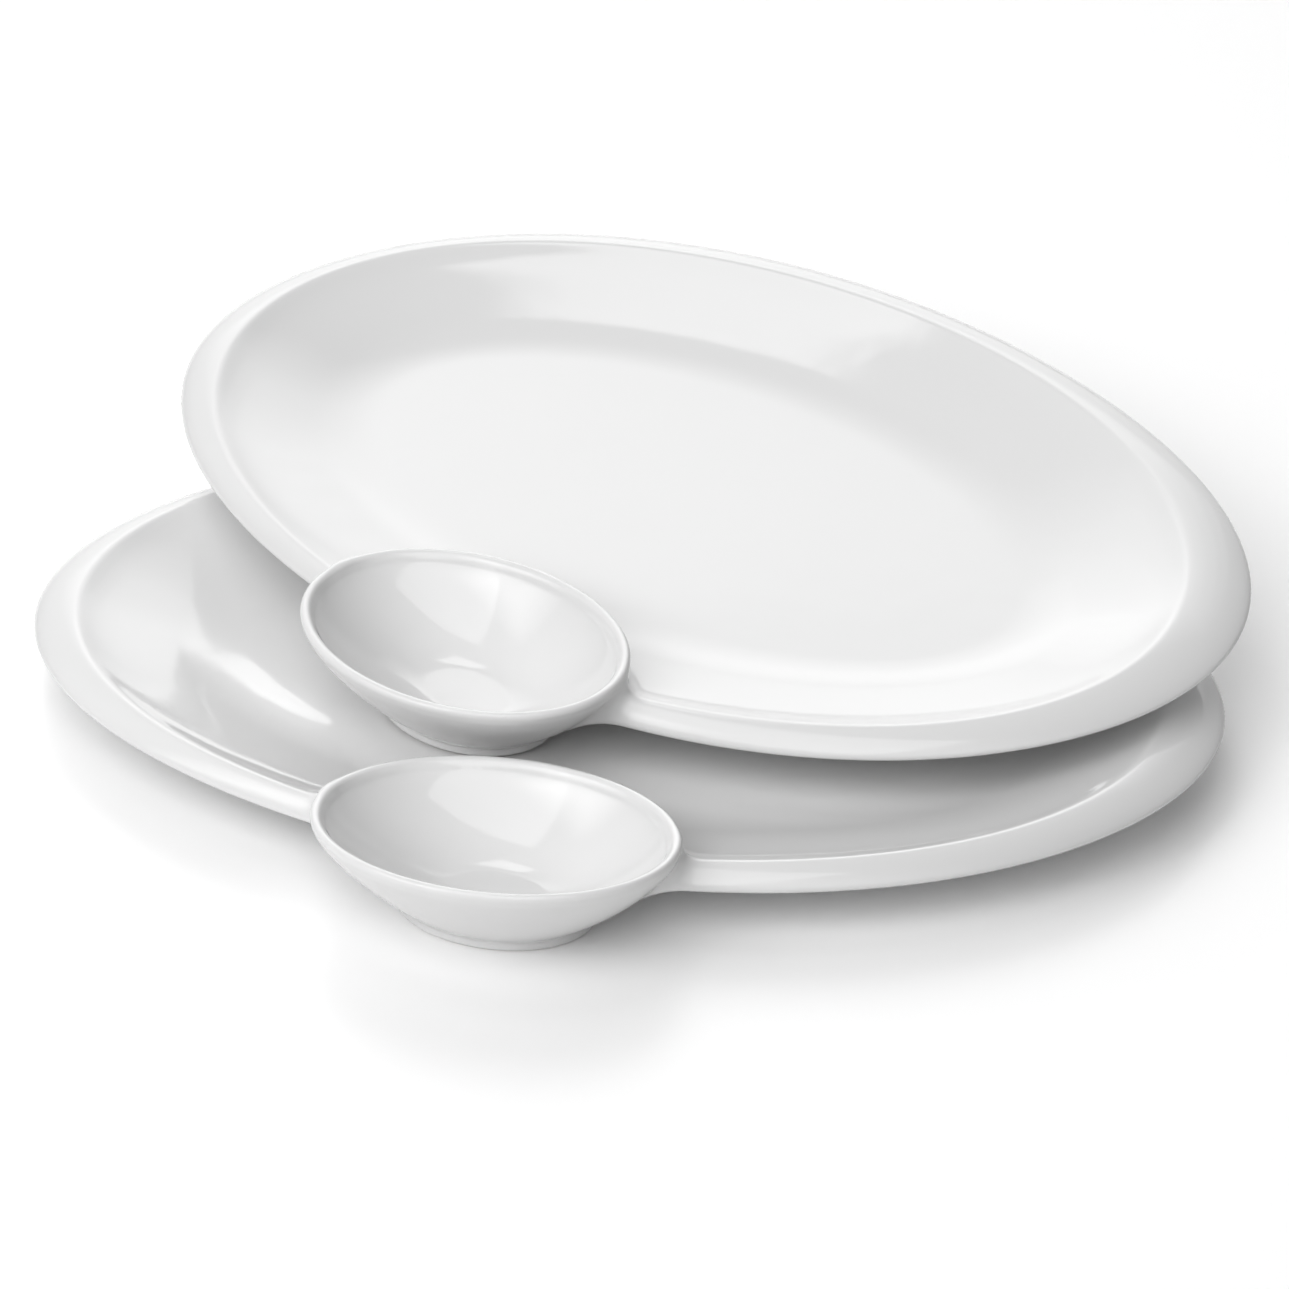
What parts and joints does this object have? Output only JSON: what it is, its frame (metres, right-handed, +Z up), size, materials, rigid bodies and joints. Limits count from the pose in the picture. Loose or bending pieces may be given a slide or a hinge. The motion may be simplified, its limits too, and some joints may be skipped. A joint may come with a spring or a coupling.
{
  "type": "chip and dip server",
  "caption": "Oval white porcelain chip and dip server with a dip bowl grown into its front rim, shown as a stacked pair: the upper one leans turned on the lower one.",
  "frame": {"origin": "middle of the pair's footprint, on the surface that it stands on", "axes": "+Z up, +X along the lower platter's long axis, -Y towards the dip bowls"},
  "size_m": [0.35, 0.3452, 0.0515],
  "materials": {
    "glazed_porcelain": "clear high-gloss glaze over white porcelain"
  },
  "bodies": {
    "lower_server": {"lower_server": "glazed_porcelain"},
    "upper_server": {"upper_server": "glazed_porcelain"}
  },
  "joints": [
    {"name": "upper_lift", "type": "slide", "parent": "lower_server", "child": "upper_server", "axis": [0, 0, 1], "range_m": [0, 0.12]}
  ]
}
